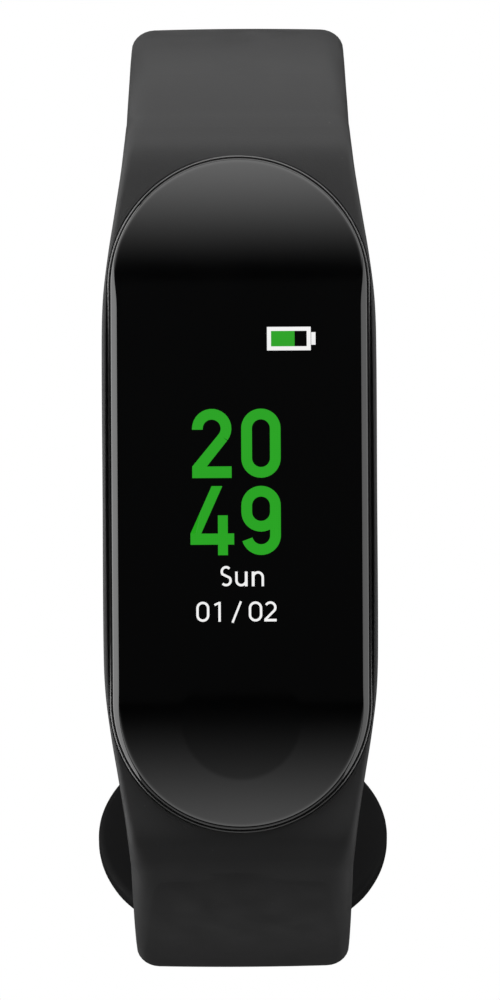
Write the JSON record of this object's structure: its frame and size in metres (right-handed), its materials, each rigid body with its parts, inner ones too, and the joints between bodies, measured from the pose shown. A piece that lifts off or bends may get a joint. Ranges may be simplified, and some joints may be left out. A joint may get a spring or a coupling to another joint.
{
  "type": "fitness tracker band",
  "caption": "Slim fitness tracker: a glass-fronted capsule with a small colour display and touch key in a silicone wrist band with stud clasp",
  "frame": {"origin": "centre of the wrist opening, level with the middle of the capsule", "axes": "X across the band along the wearer's arm, -Y the way the screen faces, +Z the 12 o'clock end of the capsule"},
  "size_m": [0.022, 0.0583, 0.0687],
  "materials": {
    "silicone": "matte, fine moulded grain",
    "black_glass": "polished, black printed behind",
    "trim_gloss": "glossy black rim",
    "adhesive": "soft tape",
    "case_plastic": "fine satin",
    "cover_plastic": "fine satin",
    "seal_rubber": "soft",
    "clear_plastic": "smoked, polished",
    "inner_plastic": "moulded",
    "circuit_board": "solder mask",
    "display": "polished",
    "backlight": "diffuse white",
    "flex_film": "film",
    "chip_resin": "moulded resin",
    "chip_metal": "satin",
    "antenna_ceramic": "sintered",
    "battery_foil": "satin foil",
    "diode": "clear resin",
    "led": "clear resin",
    "capacitor": "sintered",
    "lead_wire": "insulation",
    "copper_film": "thin film",
    "gold_contact": "plated, polished",
    "barrier_foam": "foam",
    "motor_steel": "satin",
    "magnet": "sintered",
    "rotor_plastic": "moulded",
    "tungsten": "sintered",
    "stud_metal": "satin"
  },
  "bodies": {
    "cradle": {"cradle": "silicone"},
    "capsule": {"battery_cell": "battery_foil", "battery_guard_board": "circuit_board", "battery_leads": "lead_wire", "board_capacitors": "capacitor", "capsule_case": "case_plastic", "charging_contacts": "gold_contact", "clock_crystal": "chip_metal", "cover_seal": "seal_rubber", "display_backlight": "backlight", "display_connector": "inner_plastic", "display_flex": "flex_film", "display_panel": "display", "inner_frame": "inner_plastic", "lens_adhesive": "adhesive", "lens_cover": "black_glass", "light_barrier": "barrier_foam", "main_board": "circuit_board", "memory_chip": "chip_resin", "motion_sensor_chip": "chip_resin", "motor_base": "circuit_board", "motor_can": "motor_steel", "motor_magnet": "magnet", "motor_shaft": "motor_steel", "processor_chip": "chip_resin", "pulse_leds": "led", "pulse_photodiode": "diode", "radio_antenna": "antenna_ceramic", "rear_cover": "cover_plastic", "sensor_board": "circuit_board", "sensor_flex": "flex_film", "sensor_window": "clear_plastic", "touch_electrode": "copper_film", "trim_ring": "trim_gloss"},
    "motor_rotor": {"motor_rotor": "rotor_plastic", "motor_weight": "tungsten"},
    "long_1_link": {"strap_long_1": "silicone"},
    "long_2_link": {"strap_long_2": "silicone"},
    "long_3_link": {"strap_long_3": "silicone"},
    "long_4_link": {"strap_long_4": "silicone"},
    "long_5_link": {"strap_long_5": "silicone"},
    "long_6_link": {"strap_long_6": "silicone"},
    "long_7_link": {"strap_long_7": "silicone"},
    "long_8_link": {"strap_long_8": "silicone"},
    "long_tip": {"strap_long_tip": "silicone"},
    "short_1_link": {"strap_short_1": "silicone"},
    "short_2_link": {"strap_short_2": "silicone"},
    "short_3_link": {"strap_short_3": "silicone"},
    "short_4_link": {"strap_short_4": "silicone"},
    "paddle": {"strap_paddle": "silicone", "clasp_stud": "stud_metal"}
  },
  "joints": [
    {"name": "capsule_release", "type": "slide", "parent": "cradle", "child": "capsule", "axis": [0, -1, 0], "range_m": [0, 0.014]},
    {"name": "motor_spin", "type": "hinge", "parent": "capsule", "child": "motor_rotor", "pos_m": [0, -0.0265, -0.0182], "axis": [0, 1, 0], "continuous": true},
    {"name": "long_strap_bend_1", "type": "hinge", "parent": "cradle", "child": "long_1_link", "pos_m": [0, -0.029, 0.026], "axis": [1, 0, 0], "range_deg": [0, 12.5]},
    {"name": "long_strap_bend_2", "type": "hinge", "parent": "long_1_link", "child": "long_2_link", "pos_m": [0, -0.02295, 0.03064], "axis": [1, 0, 0], "range_deg": [0, 25], "deforming": ["strap_long_8", "strap_long_tip", "strap_paddle"]},
    {"name": "long_strap_bend_3", "type": "hinge", "parent": "long_2_link", "child": "long_3_link", "pos_m": [0, -0.01552, 0.03229], "axis": [1, 0, 0], "range_deg": [0, 17.5]},
    {"name": "long_strap_bend_4", "type": "hinge", "parent": "long_3_link", "child": "long_4_link", "pos_m": [0, -0.00794, 0.03162], "axis": [1, 0, 0], "range_deg": [0, 10]},
    {"name": "long_strap_bend_5", "type": "hinge", "parent": "long_4_link", "child": "long_5_link", "pos_m": [0, -0.00059, 0.02966], "axis": [1, 0, 0], "range_deg": [0, 17.5]},
    {"name": "long_strap_bend_6", "type": "hinge", "parent": "long_5_link", "child": "long_6_link", "pos_m": [0, 0.00816, 0.02408], "axis": [1, 0, 0], "range_deg": [0, 25]},
    {"name": "long_strap_bend_7", "type": "hinge", "parent": "long_6_link", "child": "long_7_link", "pos_m": [0, 0.01373, 0.01534], "axis": [1, 0, 0], "range_deg": [0, 22.5]},
    {"name": "long_strap_bend_8", "type": "hinge", "parent": "long_7_link", "child": "long_8_link", "pos_m": [0, 0.01735, -0.00521], "axis": [1, 0, 0], "range_deg": [0, 10]},
    {"name": "long_strap_bend_9", "type": "hinge", "parent": "long_8_link", "child": "long_tip", "pos_m": [0, 0.01735, -0.02519], "axis": [1, 0, 0], "range_deg": [0, 22.5]},
    {"name": "short_strap_bend_1", "type": "hinge", "parent": "cradle", "child": "short_1_link", "pos_m": [0, -0.029, -0.026], "axis": [-1, 0, 0], "range_deg": [0, 11.25]},
    {"name": "short_strap_bend_2", "type": "hinge", "parent": "short_1_link", "child": "short_2_link", "pos_m": [0, -0.02288, -0.03091], "axis": [-1, 0, 0], "range_deg": [0, 22.5], "deforming": ["strap_long_8", "strap_long_tip", "strap_paddle"]},
    {"name": "short_strap_bend_3", "type": "hinge", "parent": "short_2_link", "child": "short_3_link", "pos_m": [0, -0.01534, -0.03311], "axis": [-1, 0, 0], "range_deg": [0, 13.75]},
    {"name": "short_strap_bend_4", "type": "hinge", "parent": "short_3_link", "child": "short_4_link", "pos_m": [0, 0.00363, -0.03394], "axis": [-1, 0, 0], "range_deg": [0, 17.5]},
    {"name": "short_strap_bend_5", "type": "hinge", "parent": "short_4_link", "child": "paddle", "pos_m": [0, 0.00963, -0.03233], "axis": [-1, 0, 0], "range_deg": [0, 27]}
  ],
  "couplings": [
    {"joint": "long_strap_bend_1", "follows": "long_strap_bend_2", "ratio": 0.5},
    {"joint": "long_strap_bend_3", "follows": "long_strap_bend_2", "ratio": 0.7},
    {"joint": "long_strap_bend_4", "follows": "long_strap_bend_2", "ratio": 0.4},
    {"joint": "long_strap_bend_5", "follows": "long_strap_bend_2", "ratio": 0.7},
    {"joint": "long_strap_bend_6", "follows": "long_strap_bend_2", "ratio": 1},
    {"joint": "long_strap_bend_7", "follows": "long_strap_bend_2", "ratio": 0.9},
    {"joint": "long_strap_bend_8", "follows": "long_strap_bend_2", "ratio": 0.4},
    {"joint": "long_strap_bend_9", "follows": "long_strap_bend_2", "ratio": 0.9},
    {"joint": "short_strap_bend_1", "follows": "short_strap_bend_2", "ratio": 0.5},
    {"joint": "short_strap_bend_3", "follows": "short_strap_bend_2", "ratio": 0.6111},
    {"joint": "short_strap_bend_4", "follows": "short_strap_bend_2", "ratio": 0.7778},
    {"joint": "short_strap_bend_5", "follows": "short_strap_bend_2", "ratio": 1.2}
  ]
}
